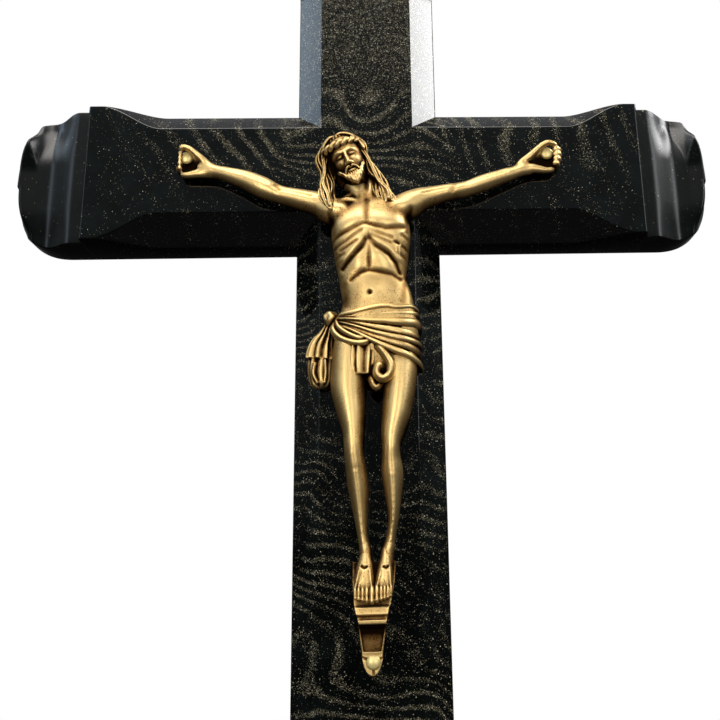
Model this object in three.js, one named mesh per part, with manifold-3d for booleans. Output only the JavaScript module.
// Stone grave cross with a bronze corpus held by three round-headed nails.
// Millimetres, +Z up, the viewer stands at -Y. The origin is the middle of the flat base.
import * as THREE from 'three';
import { ParametricGeometry } from 'three/addons/geometries/ParametricGeometry.js';
import { mergeVertices } from 'three/addons/utils/BufferGeometryUtils.js';
import Module from 'manifold-3d';

// Stone
const HEIGHT = 1000;        // base to the end of the upper arm
const REACH = 300;          // crossing to the end of each arm
const WIDTH = 120;          // width of the shaft and of the arms
const THICKNESS = 50;       // front plane to back plane
const CHAMFER = 21.5;       // each way, along the front edges
const STOP_FULL = 172;      // the chamfer is full up to here, from the crossing
const STOP_NONE = 223;      // and has run out here
const SHOULDER = 234;       // line where the carved arm end begins
const STEP_BACK = 10.5;     // step behind the shoulder line
const VALLEY = 21;          // depth of the hollow in the carved end
const VALLEY_TOP = 9;       // extra depth of the hollow at the upper edge
const VALLEY_LOW = 4;       // extra depth of the hollow at the lower edge
const FLANK = 12;           // rise from the hollow to the crest of the end lobe, near the upper edge
const RIM_DEPTH = 41;       // depth of the rolled rim of the lobe
const END_MIDDLE = -4;      // height of the outermost point of the end
const END_POWER = 2.4;      // squareness of the rounded end
const ROUND_UPPER = 30;     // the upper edge rounds off from here, past the shoulder
const ROUND_LOWER = 18;     // the lower edge rounds off from here
const FOOT_STOP = [60, 92];      // the shaft chamfer begins between these heights
const ARRIS = 0.5;          // chamfer left where an edge is sharp

// Nails
const HEAD_RADIUS = 5.3;
const HEAD_RISE = 3.4;
const SHANK_RADIUS = 2;
const SHANK_DEPTH = 26;     // into the stone
const GAP = 0.3;            // clearance between separate pieces
const NAIL_LEFT = [-148.2, 6.9, 7];      // across, up from the arm axis, underside of the head
const NAIL_RIGHT = [151.3, 8.8, 7];
const NAIL_FOOT = [2.2, -390.6, 6.4];

// Corpus
const HEAD_PLACE = [-15, 19.5, -2.6];    // across, forward of the stone, up from the arm axis
const HEAD_TILT = 23;                    // degrees, crown towards -X
const TOE_RADIUS = [2.0, 1.45, 1.35, 1.3, 1.2];

const AXIS_Z = HEIGHT - REACH;
const FACE_Y = -THICKNESS / 2;
const FRONT = new THREE.Vector3(0, -1, 0);
const UP = new THREE.Vector3(0, 0, 1);

const wasm = await Module();
wasm.setup();

const { clamp, smoothstep, lerp } = THREE.MathUtils;

// Point of the corpus from across, forward of the stone face and up from the arm axis.
const at = (x, d, z) => new THREE.Vector3(x, FACE_Y - d, AXIS_Z + z);

// Closed solid of a geometry whose first and last rows are points.
function solid(geometry) {
  geometry.deleteAttribute('normal');
  geometry.deleteAttribute('uv');
  const merged = mergeVertices(geometry, 1e-4);
  const points = merged.attributes.position;
  const source = merged.index.array;
  const faces = [];
  for (let i = 0; i < source.length; i += 3) {
    const [a, b, c] = [source[i], source[i + 1], source[i + 2]];
    if (a !== b && b !== c && c !== a) faces.push(a, b, c);
  }
  const corner = (i) => new THREE.Vector3().fromBufferAttribute(points, i);
  let volume = 0;
  for (let i = 0; i < faces.length; i += 3) {
    volume += corner(faces[i]).dot(corner(faces[i + 1]).cross(corner(faces[i + 2])));
  }
  if (volume < 0) faces.reverse();
  return new wasm.Manifold(new wasm.Mesh({
    numProp: 3,
    vertProperties: new Float32Array(points.array),
    triVerts: new Uint32Array(faces),
  }));
}

// Mesh of a solid.
function meshOf(manifold, name, material) {
  const data = manifold.getMesh();
  const geometry = new THREE.BufferGeometry();
  geometry.setAttribute('position', new THREE.BufferAttribute(new Float32Array(data.vertProperties), 3));
  geometry.setIndex(new THREE.BufferAttribute(new Uint32Array(data.triVerts), 1));
  geometry.computeVertexNormals();
  const mesh = new THREE.Mesh(geometry, material);
  mesh.name = name;
  return mesh;
}

const joined = (list) => list.reduce((sum, item) => sum.add(item));

// The same solid with every closed pocket inside it filled.
const filled = (manifold) => joined(manifold.decompose().filter((shell) => shell.volume() > 1));

// Smooth curve through rows of numbers, w from 0 to 1.
function through(rows, w) {
  const last = rows.length - 1;
  const s = clamp(w, 0, 1) * last;
  const i = Math.min(Math.floor(s), last - 1);
  const t = s - i;
  const [p, q, r, e] = [rows[Math.max(i - 1, 0)], rows[i], rows[i + 1], rows[Math.min(i + 2, last)]];
  return q.map((_, k) => q[k] + 0.5 * t * (r[k] - p[k]
    + t * (2 * p[k] - 5 * q[k] + 4 * r[k] - e[k] + t * (3 * (q[k] - r[k]) + e[k] - p[k]))));
}

// Limb: rounded sections along a curve. Rows: across, forward, up, half width, half depth.
function limb(rows, { around = 8, along = 8, power = 2, caps = [0.1, 0.1], toward = FRONT, relief = null } = {}) {
  const shape = (u, v, target) => {
    const w = 0.5 - 0.5 * Math.cos(Math.PI * v);
    const [x, d, z, a, b] = through(rows, w);
    const ahead = through(rows, Math.min(w + 0.01, 1));
    const behind = through(rows, Math.max(w - 0.01, 0));
    const run = at(ahead[0], ahead[1], ahead[2]).sub(at(behind[0], behind[1], behind[2])).normalize();
    const side = new THREE.Vector3().crossVectors(run, toward).normalize();
    const rise = new THREE.Vector3().crossVectors(side, run);
    const start = 1 - Math.min(1, w / caps[0]);
    const end = 1 - Math.min(1, (1 - w) / caps[1]);
    const close = v <= 0 || v >= 1 ? 0 : Math.sqrt(Math.max(0, (1 - start * start) * (1 - end * end)));
    const angle = 2 * Math.PI * u;
    const round = (f) => Math.sign(f) * Math.abs(f) ** (2 / power);
    target.copy(at(x, d, z));
    target.addScaledVector(side, a * close * round(Math.cos(angle)));
    target.addScaledVector(rise, b * close * round(Math.sin(angle)));
    if (relief) target.y -= relief(target.x, target.z - AXIS_Z) * Math.max(0, Math.sin(angle)) ** 0.5;
  };
  return solid(new ParametricGeometry(shape, around, along));
}

// Block: rectangular sections from top to bottom. Rows: up, left edge, right edge, front, back.
function block(rows) {
  const corners = [[1, 4], [2, 4], [2, 3], [1, 3]];
  const shape = (u, v, target) => {
    const j = clamp(Math.round(v * (rows.length + 1)) - 1, 0, rows.length - 1);
    const row = rows[j];
    if (v <= 0 || v >= 1) {
      target.copy(at((row[1] + row[2]) / 2, (row[3] + row[4]) / 2, row[0]));
      return;
    }
    const [across, forward] = corners[Math.round(u * 4) % 4];
    target.copy(at(row[across], row[forward], row[0]));
  };
  return solid(new ParametricGeometry(shape, 4, rows.length + 1));
}

// Depth of the carved arm end behind the front plane, s past the shoulder and z up from the axis.
function endDepth(s, z) {
  if (s <= 0) return 0;
  const half = WIDTH / 2;
  const length = REACH - SHOULDER;
  const floor = VALLEY + VALLEY_TOP * smoothstep(z, 14, 58) + VALLEY_LOW * smoothstep(-z, 25, 60);
  const slope = smoothstep(s, 10, 37) * (floor - STEP_BACK);
  const low = 46 - 9 * smoothstep(z, 14, 46);
  const high = 47 + 9 * smoothstep(z, 12, 48);
  const height = FLANK * smoothstep(z, 8, 46);
  const climb = clamp((s - low) / Math.max(high - low, 1), 0, 1) ** 1.5 * height;
  const swell = 2 * smoothstep(s, 44, 58);
  const upper = z >= END_MIDDLE;
  const start = upper ? ROUND_UPPER : ROUND_LOWER;
  const along = Math.max(s - start, 0) / (length - start);
  const across = Math.abs(z - END_MIDDLE) / (upper ? half - END_MIDDLE : half + END_MIDDLE);
  const rim = clamp(along ** END_POWER + across ** END_POWER, 0, 1);
  const roll = smoothstep(rim, 0.62, 1) ** 1.5 * smoothstep(s, 46, 60);
  return STEP_BACK + slope - climb - swell + roll * (RIM_DEPTH - floor + height + 2);
}

// Half height of an arm towards its end.
function endHalf(s, upper) {
  const start = upper ? ROUND_UPPER : ROUND_LOWER;
  const middle = upper ? END_MIDDLE : -END_MIDDLE;
  const t = clamp((s - start) / (REACH - SHOULDER - start), 0, 1);
  return middle + (WIDTH / 2 - middle) * (1 - t ** END_POWER) ** (1 / END_POWER);
}

// Chamfered bar. Stations: distance along, chamfer, half height above and below, depth by height.
function bar(stations, place, fronts = 7) {
  const columns = fronts + 5;
  const section = (st, i) => {
    const { c, above, below, depth } = st;
    const rear = THICKNESS;
    if (i === 0) return [rear, -below];
    if (i === 1) return [rear, above];
    if (i === 2) return [Math.min(depth(above) + c, rear - 1), above];
    if (i === columns - 1) return [Math.min(depth(-below) + c, rear - 1), -below];
    const z = lerp(above - c, -below + c, (i - 3) / fronts);
    return [depth(z), z];
  };
  const shape = (u, v, target) => {
    const j = clamp(Math.round(v * (stations.length + 1)) - 1, 0, stations.length - 1);
    const st = stations[j];
    let [y, z] = section(st, Math.round(u * columns) % columns);
    if (v <= 0 || v >= 1) {
      y = (THICKNESS + st.depth(0)) / 2;
      z = (st.above - st.below) / 2;
    }
    target.copy(place(st.t, FACE_Y + y, z));
  };
  return solid(new ParametricGeometry(shape, columns, stations.length + 1));
}

// Stations of one carved arm from the crossing outwards.
function armStations(side) {
  const flat = () => 0;
  const half = WIDTH / 2;
  const list = [];
  for (let i = 0; i <= 6; i += 1) {
    const t = lerp(STOP_FULL, STOP_NONE, i / 6);
    const c = lerp(CHAMFER, ARRIS, smoothstep(t, STOP_FULL, STOP_NONE));
    list.push({ t, c, above: half, below: half, depth: flat });
  }
  list.push({ t: SHOULDER, c: ARRIS, above: half, below: half, depth: flat });
  for (const s of [0.7, 11, 17, 23, 29, 36, 42, 46, 50, 54, 57.5, 60.5, 63, 64.6, 65.5, 65.9]) {
    list.push({
      t: SHOULDER + s + (s > 65.8 ? 0.1 : 0), c: ARRIS, above: endHalf(s, side), below: endHalf(s, false),
      depth: (z) => endDepth(s, side ? z : -Math.abs(z)),
    });
  }
  return list;
}

function stoneCross() {
  const side = armStations(true);
  const mirrored = side.map((st) => ({ ...st, t: -st.t })).reverse();
  const across = bar([...mirrored, ...side], (t, y, z) => new THREE.Vector3(t, y, AXIS_Z + z));
  const half = WIDTH / 2;
  const shaft = [];
  for (let i = 0; i <= 5; i += 1) {
    const t = lerp(FOOT_STOP[0], FOOT_STOP[1], i / 5);
    const c = lerp(ARRIS, CHAMFER, smoothstep(t, FOOT_STOP[0], FOOT_STOP[1]));
    shaft.push({ t: t - AXIS_Z, c, above: half, below: half, depth: () => 0 });
  }
  const base = { ...shaft[0], t: -AXIS_Z };
  const top = armStations(false);
  const upright = bar([base, ...shaft, ...top], (t, y, z) => new THREE.Vector3(z, y, AXIS_Z + t));
  return across.add(upright);
}

// Round-headed nail driven towards +Y. Place: across, up from the arm axis, underside of the head.
function nail([x, z, d], grow = 0) {
  const points = [];
  for (let i = 0; i <= 4; i += 1) {
    const a = (Math.PI / 2) * (i / 4);
    points.push(new THREE.Vector2(HEAD_RADIUS * Math.sin(a), HEAD_RISE * Math.cos(a)));
  }
  points[0].x = 0;
  const r = SHANK_RADIUS + grow;
  const deep = -(d + SHANK_DEPTH + grow);
  if (grow > 0) points.length = 0;
  if (grow > 0) points.push(new THREE.Vector2(0, HEAD_RISE + 30), new THREE.Vector2(r, HEAD_RISE + 30));
  else points.push(new THREE.Vector2(r, 0));
  points.push(new THREE.Vector2(r, deep + 2), new THREE.Vector2(0, deep));
  const geometry = new THREE.LatheGeometry(points, 14);
  geometry.rotateX(Math.PI);
  const centre = at(x, d, z);
  geometry.translate(centre.x, centre.y, centre.z);
  return solid(geometry);
}

// Soft line of relief: height h within width w of a polyline in the plane of the cross.
function crease(points, h, w) {
  return (x, z) => {
    let best = Infinity;
    for (let i = 0; i + 1 < points.length; i += 1) {
      const [ax, az] = points[i];
      const [bx, bz] = points[i + 1];
      const [ux, uz] = [bx - ax, bz - az];
      const t = clamp(((x - ax) * ux + (z - az) * uz) / (ux * ux + uz * uz), 0, 1);
      best = Math.min(best, Math.hypot(x - ax - t * ux, z - az - t * uz));
    }
    return h * Math.exp(-((best / w) ** 2));
  };
}

function trunk() {
  const lines = [
    crease([[0, -46], [0.4, -61]], -1.2, 4),
    crease([[-25, -73.3], [-13.5, -68.6], [-0.3, -63]], -1.8, 3.2),
    crease([[0.4, -63], [7.7, -65.7], [15.6, -67.5], [32.6, -65]], -1.8, 3.2),
    crease([[-15, -60], [-8, -58]], 1.6, 9),
    crease([[12, -60], [20, -60]], 1.6, 9),
    crease([[-0.4, -76.5], [-9.7, -89], [-16, -95]], -2.2, 4),
    crease([[2.2, -75], [8.5, -82], [17.9, -88], [25.6, -102]], -2.2, 4),
    crease([[2, -84], [2, -100]], -1, 3),
    crease([[-9.7, -106], [2, -101], [20, -104]], -1.4, 3.5),
    crease([[2.5, -118], [6, -122]], 1.4, 11),
  ];
  const relief = (x, z) => lines.reduce((sum, line) => sum + line(x, z), 0);
  return limb([
    [1, 13, -33, 9, 8], [1.5, 14, -41, 21, 12], [2.5, 15.5, -49, 28.5, 15], [3, 17, -60, 31, 17.4],
    [3.6, 17, -70, 31.5, 17.4], [3.9, 16, -88, 29.3, 15.6], [4.9, 15, -108, 26.3, 14.2],
    [8, 15.5, -125, 28, 14.6], [8, 16, -145, 31.5, 15.5], [6.5, 15, -165, 31, 14.5], [5, 13, -184, 24, 11],
  ], { around: 16, along: 14, power: 2.3, caps: [0.05, 0.05], relief });
}

function arms() {
  const left = [
    [-12, 15, -53, 10, 11], [-26.4, 15.5, -46.5, 12, 12], [-38.7, 14, -38.8, 10.2, 10.5],
    [-55.1, 13, -33.3, 8.3, 9], [-70.7, 12, -28.5, 7.3, 8], [-84.8, 12, -22.1, 8.8, 8.6],
    [-99, 11, -14.8, 7.8, 7.6], [-114.8, 10, -9, 5.9, 6.2], [-129.1, 9, -4.2, 5.5, 5],
    [-138, 7, -1.4, 6.2, 4.4],
  ];
  const right = [
    [14, 15, -51, 10, 11], [30.8, 15.5, -43, 12, 12], [42.5, 14, -36, 10.2, 10.5],
    [53.3, 13, -32.1, 8.2, 9], [69.3, 12, -27.6, 6.6, 8], [81.8, 12, -25.5, 6.3, 8],
    [96.4, 11, -19.6, 6.9, 7.6], [112.7, 10, -13.2, 6, 6.2], [128.4, 9, -7.4, 5.6, 5],
    [137, 7, -4, 6.2, 4.4],
  ];
  return [left, right].map((rows) => limb(rows, { around: 8, along: 10, caps: [0.06, 0.04] }));
}

// Hand around a nail: side is -1 or 1, curl shortens the reach of the fingers past the nail.
function hand([nx, nz], side, curl) {
  const put = (rows) => rows.map(([x, d, z, a, b]) => {
    const far = x > 4 ? 4 + (x - 4) * curl : x;
    return [nx + side * far, d, nz + z, a, b];
  });
  const list = [
    limb(put([[-27, 8, -12.5, 3.4, 3.8], [-16.5, 9.4, -5.4, 3.4, 4.2], [-9.3, 11, 0.8, 3, 3.9],
      [-3.4, 12.2, 5.6, 2.7, 3.5], [2, 12.8, 7.2, 2.4, 3.1], [9.4, 12, 4.6, 1.9, 2.4]]),
    { around: 6, along: 6 }),
    limb(put([[-24, 4.6, -14, 5, 4.2], [-13, 3.6, -9, 7.6, 3.4], [-3, 3.2, -5, 10, 3.1],
      [5, 3.6, -4, 9, 3.2], [11, 4.2, -4, 6, 3]]),
    { around: 7, along: 5, power: 2.6 }),
    limb(put([[-30, 8, -17, 3.2, 3.6], [-16, 8.4, -14.2, 4.2, 4], [-8, 8.2, -14.8, 3.4, 3.4],
      [-1.3, 7.6, -15.6, 2.6, 3], [6, 7, -14.6, 2.2, 2.6]]),
    { around: 6, along: 6 }),
  ];
  const reach = [11.8, 12.2, 11.4, 9.4];
  reach.forEach((out, i) => {
    const z = 2.4 - 4.4 * i;
    list.push(limb(put([[5, 3.4, z - 0.6, 1.9, 2], [out - 1, 4.6, z, 2.1, 2.05], [out, 8.6, z + 0.2, 2.1, 2],
      [out - 3, 11.4, z, 2, 1.95], [4.4, 11, z - 0.3, 1.8, 1.8]]),
    { around: 5, along: 4, toward: UP, caps: [0.08, 0.16] }));
  });
  return list;
}

function legs() {
  const left = [
    [-13, 13, -150, 12, 12], [-14.2, 15, -163, 12.6, 14], [-15.2, 17, -190, 13.2, 15],
    [-13, 19, -210, 11, 14.5], [-11.2, 21, -227, 8, 12.5], [-10.8, 22, -240, 7.4, 11.6],
    [-9.2, 19, -254, 7.7, 10.6], [-7.6, 16.5, -267, 7.8, 10.2], [-6.3, 14.5, -283, 5.9, 8.8],
    [-4.9, 13.5, -301, 3.9, 7], [-2.8, 13.5, -313.5, 3.8, 6], [-2.4, 13.5, -324, 4.8, 6.4],
  ];
  const right = [
    [23, 13, -155, 13, 12], [24.5, 15, -168, 14, 14], [24.6, 17, -188, 12.6, 15],
    [21.8, 19, -210, 11.3, 14.5], [18.4, 21, -227, 8.8, 12.5], [17, 22, -240, 6.9, 11.6],
    [17.7, 19, -257, 8.1, 10.6], [18.2, 16.5, -273, 6.3, 9.8], [18.1, 14.5, -289, 4.1, 8.6],
    [16.3, 13.5, -302, 3.4, 7], [14, 13.5, -314, 3.6, 6], [12, 13.5, -324, 5, 6.4],
  ];
  return [left, right].map((rows) => limb(rows, { around: 8, along: 11, caps: [0.05, 0.04] }));
}

// Foot pointing down, half wide across the ball. Side is -1 or 1 away from the other foot.
function foot(ankle, ball, half, side) {
  const mid = (k, p) => lerp(ankle[k], ball[k], p);
  const list = [limb([
    [ankle[0], 13, mid(1, -0.25), half * 0.66, 6.2], [mid(0, 0.2), 15.6, mid(1, 0.2), half * 0.86, 7.2],
    [mid(0, 0.6), 19.4, mid(1, 0.6), half, 7], [mid(0, 0.95), 22, mid(1, 0.95), half, 5.2],
    [ball[0], 22.6, mid(1, 1.18), half * 0.92, 3.2],
  ], { around: 8, along: 6, caps: [0.1, 0.12] })];
  const total = TOE_RADIUS.reduce((sum, r) => sum + r, 0);
  let x = ball[0] - side * half;
  TOE_RADIUS.forEach((size, i) => {
    const r = (size * half) / total;
    x += side * r;
    const tip = ball[1] - 9.5 + 0.9 * i;
    list.push(limb([[x, 23.6, ball[1] + 1, r, 2.4], [x, 25.4, ball[1] - 3, r * 1.05, 2.6], [x, 25.2, tip, r, 2.7]],
      { around: 5, along: 3, caps: [0.2, 0.3] }));
    x += side * r;
  });
  return list;
}

function bracket() {
  const plate = block([
    [-320.5, -12.6, 19.2, 5, GAP], [-335, -12.3, 18.2, 15, GAP], [-351.4, -10.8, 14.8, 21, GAP],
    [-352.4, -10.4, 13.9, 24, GAP], [-358, -9.2, 13.2, 24.6, GAP], [-358.4, -8.6, 12.7, 22.6, GAP],
    [-364.4, -7.6, 12, 22, GAP], [-364.9, -8.6, 11.7, 8.6, GAP], [-385.4, -5.8, 8.7, 6, GAP],
  ]);
  const tongue = [];
  for (let i = 0; i <= 6; i += 1) {
    const a = (Math.PI / 2) * (i / 6.3);
    const half = 7.4 * Math.cos(a);
    tongue.push([-385 - 15 * Math.sin(a), 1.5 - half, 1.5 + half, 6.1, GAP]);
  }
  const panel = block([
    [-367.4, -7, 10.2, 20, 7.2], [-383, -4.8, 7.7, 20, 5],
  ]);
  return plate.add(block(tongue)).subtract(panel);
}

// Place in the head: across, forward, up along the tilted axis of the head.
function inHead(rows) {
  const tilt = THREE.MathUtils.degToRad(HEAD_TILT);
  return rows.map(([p, r, q, a, b]) => [
    HEAD_PLACE[0] + p * Math.cos(tilt) - q * Math.sin(tilt), HEAD_PLACE[1] + r,
    HEAD_PLACE[2] + p * Math.sin(tilt) + q * Math.cos(tilt), a, b,
  ]);
}

function head() {
  const list = [
    limb(inHead([[0, 8, -28, 5, 4.5], [0, 8, -23, 8.4, 8], [0, 6, -14, 11.8, 12], [0, 4, -3, 13.4, 14.4],
      [0, 2, 8, 14, 15], [0, 0, 17, 12.6, 13.6], [0, -1, 24, 8, 9]]), { around: 10, along: 7, power: 2.2 }),
    limb(inHead([[-1, -6, -20, 12, 9], [-1, -4.6, -8, 16.6, 12.6], [-1, -3.6, 6, 18, 15],
      [-1, -2.6, 15, 16.4, 15.6], [-1, -2.6, 23.6, 9.4, 11]]), { around: 9, along: 6 }),
    limb(inHead([[0, 16.4, 3, 1.5, 1.8], [0, 18.4, -4, 1.9, 2.4], [0, 19.8, -10, 2.5, 2.6]]),
      { around: 5, along: 4, caps: [0.2, 0.22] }),
    limb(inHead([[-12, 9, -9, 3.6, 4], [-10.5, 11, -19, 4.4, 5], [-5, 13.6, -26.5, 5, 5.4],
      [0, 14.4, -28.4, 5.4, 5.4], [5, 13.6, -26.5, 5, 5.4], [10.5, 11, -19, 4.4, 5], [12, 9, -9, 3.6, 4]]),
    { around: 6, along: 8 }),
    limb([[-11, 13, -16, 10, 10], [-6, 14.5, -30, 9.4, 10], [0, 14, -46, 12, 10]], { around: 8, along: 5 }),
  ];
  const band = [];
  for (let i = 0; i <= 12; i += 1) {
    const a = -2.2 + 4.4 * (i / 12);
    band.push([-1 + 16.4 * Math.sin(a), -1.2 + 17 * Math.cos(a), 11.6 - 2.2 * Math.cos(a), 2.2, 3.1]);
  }
  list.push(limb(inHead(band), { around: 5, along: 12, toward: UP, caps: [0.03, 0.03] }));
  return list;
}

function locks() {
  const left = [[-26, 24, 14], [-33.4, 23, 7], [-36, 21.5, -3], [-34.4, 21, -14], [-33.4, 22, -25], [-32.4, 25, -36],
    [-28.6, 27, -47]];
  const right = [[-14, 26, 16.5], [-4.6, 24, 9.6], [0.6, 22, -2], [6, 21.5, -13], [12.4, 22, -22.5], [17, 24.5, -32],
    [20, 26, -41]];
  const list = [];
  for (let i = 0; i < 3; i += 1) {
    const wave = (k) => 1.1 * Math.sin(1.7 * k + 2.1 * i);
    const rows = (line, side) => line.map(([x, d, z], k) => {
      const inward = side * (i - 0.6) * (k < 2 ? 2.2 : 3.6);
      return [x + inward + wave(k), d + (k > 1 ? [0, 1.6, 0.6, -1.4][i] : 1.5 - i), z + (k > 4 ? -[0, 2, 0.5, 2.6][i] : 0),
        k === 0 ? 2.2 : 2.7, 2.7];
    });
    list.push(limb(rows(left, 1), { around: 5, along: 6, caps: [0.06, 0.12] }));
    list.push(limb(rows(right, -1), { around: 5, along: 6, caps: [0.06, 0.12] }));
  }
  return list;
}

function loincloth() {
  const fold = (rows, a, b, along = 6) => limb(rows.map((row) => [...row, a, b]), { around: 5, along });
  const list = [
    fold([[-20, 22, -135], [-11, 27.6, -136.4], [1, 30, -135], [15.7, 30.4, -133.4], [28, 27.6, -132.6],
      [36.4, 20, -131.4], [37.6, 2, -131]], 3, 3.4),
    fold([[-26, 18, -137], [-17.4, 25.6, -139.8], [-3.1, 30.6, -144.5], [10, 32, -148.6], [25.4, 29.6, -146],
      [37.2, 20, -143.5], [38.4, 2, -142.4]], 4, 3.8),
    fold([[-24, 19, -140], [-9.7, 29, -147.9], [5.6, 32.6, -152.9], [20.9, 32, -154.1], [34, 26, -153.6],
      [39.4, 16, -153], [39, 2, -153]], 4, 4),
    fold([[-22, 20, -142], [-7.5, 29.4, -151], [5.6, 33.2, -158.5], [20.8, 33, -162.8], [33, 27.6, -164],
      [38.6, 18, -164.4], [38, 2, -164]], 4, 4),
    fold([[-20, 20, -146], [-5.4, 29, -153.6], [5.5, 32.6, -161.4], [20.7, 33, -168.6], [31.3, 29, -172],
      [37, 19, -174.4], [37, 2, -175]], 3.4, 3.6),
    fold([[-28, 16, -139], [-26.4, 19.6, -148], [-19.9, 25.4, -155.6], [-9.9, 29.6, -159.8], [-1.5, 31, -159],
      [3, 29, -156]], 3.2, 3.6),
    fold([[-26, 18, -138], [-22, 22.8, -146], [-14.5, 28, -152.6], [-5, 31, -156], [1, 30.6, -154]], 3, 3.4),
    limb([[8, 14, -134, 28, 14.6], [8.4, 14.6, -150, 31.6, 15.8], [8.6, 14, -165, 31, 15.4],
      [8, 13, -176, 30, 13]], { around: 10, along: 5, power: 2.3 }),
    limb([[-33, 13, -133, 3.5, 5], [-28, 15, -136.5, 6.4, 6.6], [-23, 17, -139, 4, 5]], { around: 7, along: 5, caps: [0.4, 0.3] }),
    limb([[-29.6, 11, -139, 3.2, 4.6], [-32.6, 9.4, -149, 6, 5], [-36, 8.4, -159, 9, 5.2], [-37.4, 8, -166, 10.2, 5]],
      { around: 8, along: 5, caps: [0.12, 0.1] }),
    limb([[-33, 8, -155, 7, 4.6], [-36, 7.6, -168, 8.6, 5.2], [-37, 7.6, -179, 8, 5], [-36, 7.4, -188, 5.4, 4.2]],
      { around: 8, along: 5, caps: [0.12, 0.1] }),
    limb([[4, 20, -158, 15, 8], [5, 21, -174, 13, 7], [6, 20, -190, 6.5, 5.4]], { around: 8, along: 5 }),
    limb([[-3.4, 26, -158, 7, 4.4], [-4, 26.8, -168, 8, 4.8], [-4.4, 26.6, -177, 7.8, 4.6], [-4.2, 25.8, -183, 6.8, 4]],
      { around: 7, along: 5, power: 2.6 }),
    fold([[7, 29.6, -161], [13.4, 30.6, -169], [17.6, 30.4, -177], [16.8, 30, -185], [11.7, 29.6, -187.8],
      [7.4, 29.6, -184], [8.4, 30, -178.4], [12.6, 30.4, -177.4]], 3.5, 4, 9),
    fold([[3.5, 24.6, -176], [3.5, 24.6, -187], [6.8, 24, -193.4], [10, 24, -189]], 2.5, 2.8, 6),
  ];
  return list;
}

function corpus() {
  const body = joined([
    trunk(), ...arms(), ...hand(NAIL_LEFT, -1, 0.24), ...hand(NAIL_RIGHT, 1, 0.8), ...legs(),
    ...foot([-2.6, -316], [-4, -341], 8, -1), ...foot([12.2, -316], [10.6, -340], 6.6, 1),
    bracket(), ...head(), ...locks(), ...loincloth(),
  ]);
  const stone = block([[60, -320, 320, GAP, -60], [-420, -320, 320, GAP, -60]]);
  const holes = joined([NAIL_LEFT, NAIL_RIGHT, NAIL_FOOT].map((place) => nail(place, GAP)));
  const seats = joined([NAIL_LEFT, NAIL_RIGHT, NAIL_FOOT].map(([x, z, d]) => {
    const disc = new THREE.CylinderGeometry(HEAD_RADIUS + GAP, HEAD_RADIUS + GAP, 12, 20);
    const centre = at(x, d - GAP + 6, z);
    disc.translate(centre.x, centre.y, centre.z);
    return solid(disc);
  }));
  return filled(body.subtract(stone)).subtract(holes).subtract(seats);
}

const granite = new THREE.MeshStandardMaterial({ color: 0x1d2322, roughness: 0.12, metalness: 0 });
const bronze = new THREE.MeshStandardMaterial({ color: 0xb58a45, roughness: 0.35, metalness: 1 });
const brass = new THREE.MeshStandardMaterial({ color: 0xe6d49a, roughness: 0.3, metalness: 1 });

const places = { nail_left_hand: NAIL_LEFT, nail_right_hand: NAIL_RIGHT, nail_foot: NAIL_FOOT };
const bores = joined(Object.values(places).map((place) => nail(place, GAP)));

const grave = new THREE.Group();
grave.name = 'stone_grave_cross';
grave.add(meshOf(stoneCross().subtract(bores), 'stone_cross', granite));
grave.add(meshOf(corpus(), 'bronze_corpus', bronze));
for (const [name, place] of Object.entries(places)) grave.add(meshOf(nail(place), name, brass));

export default grave;
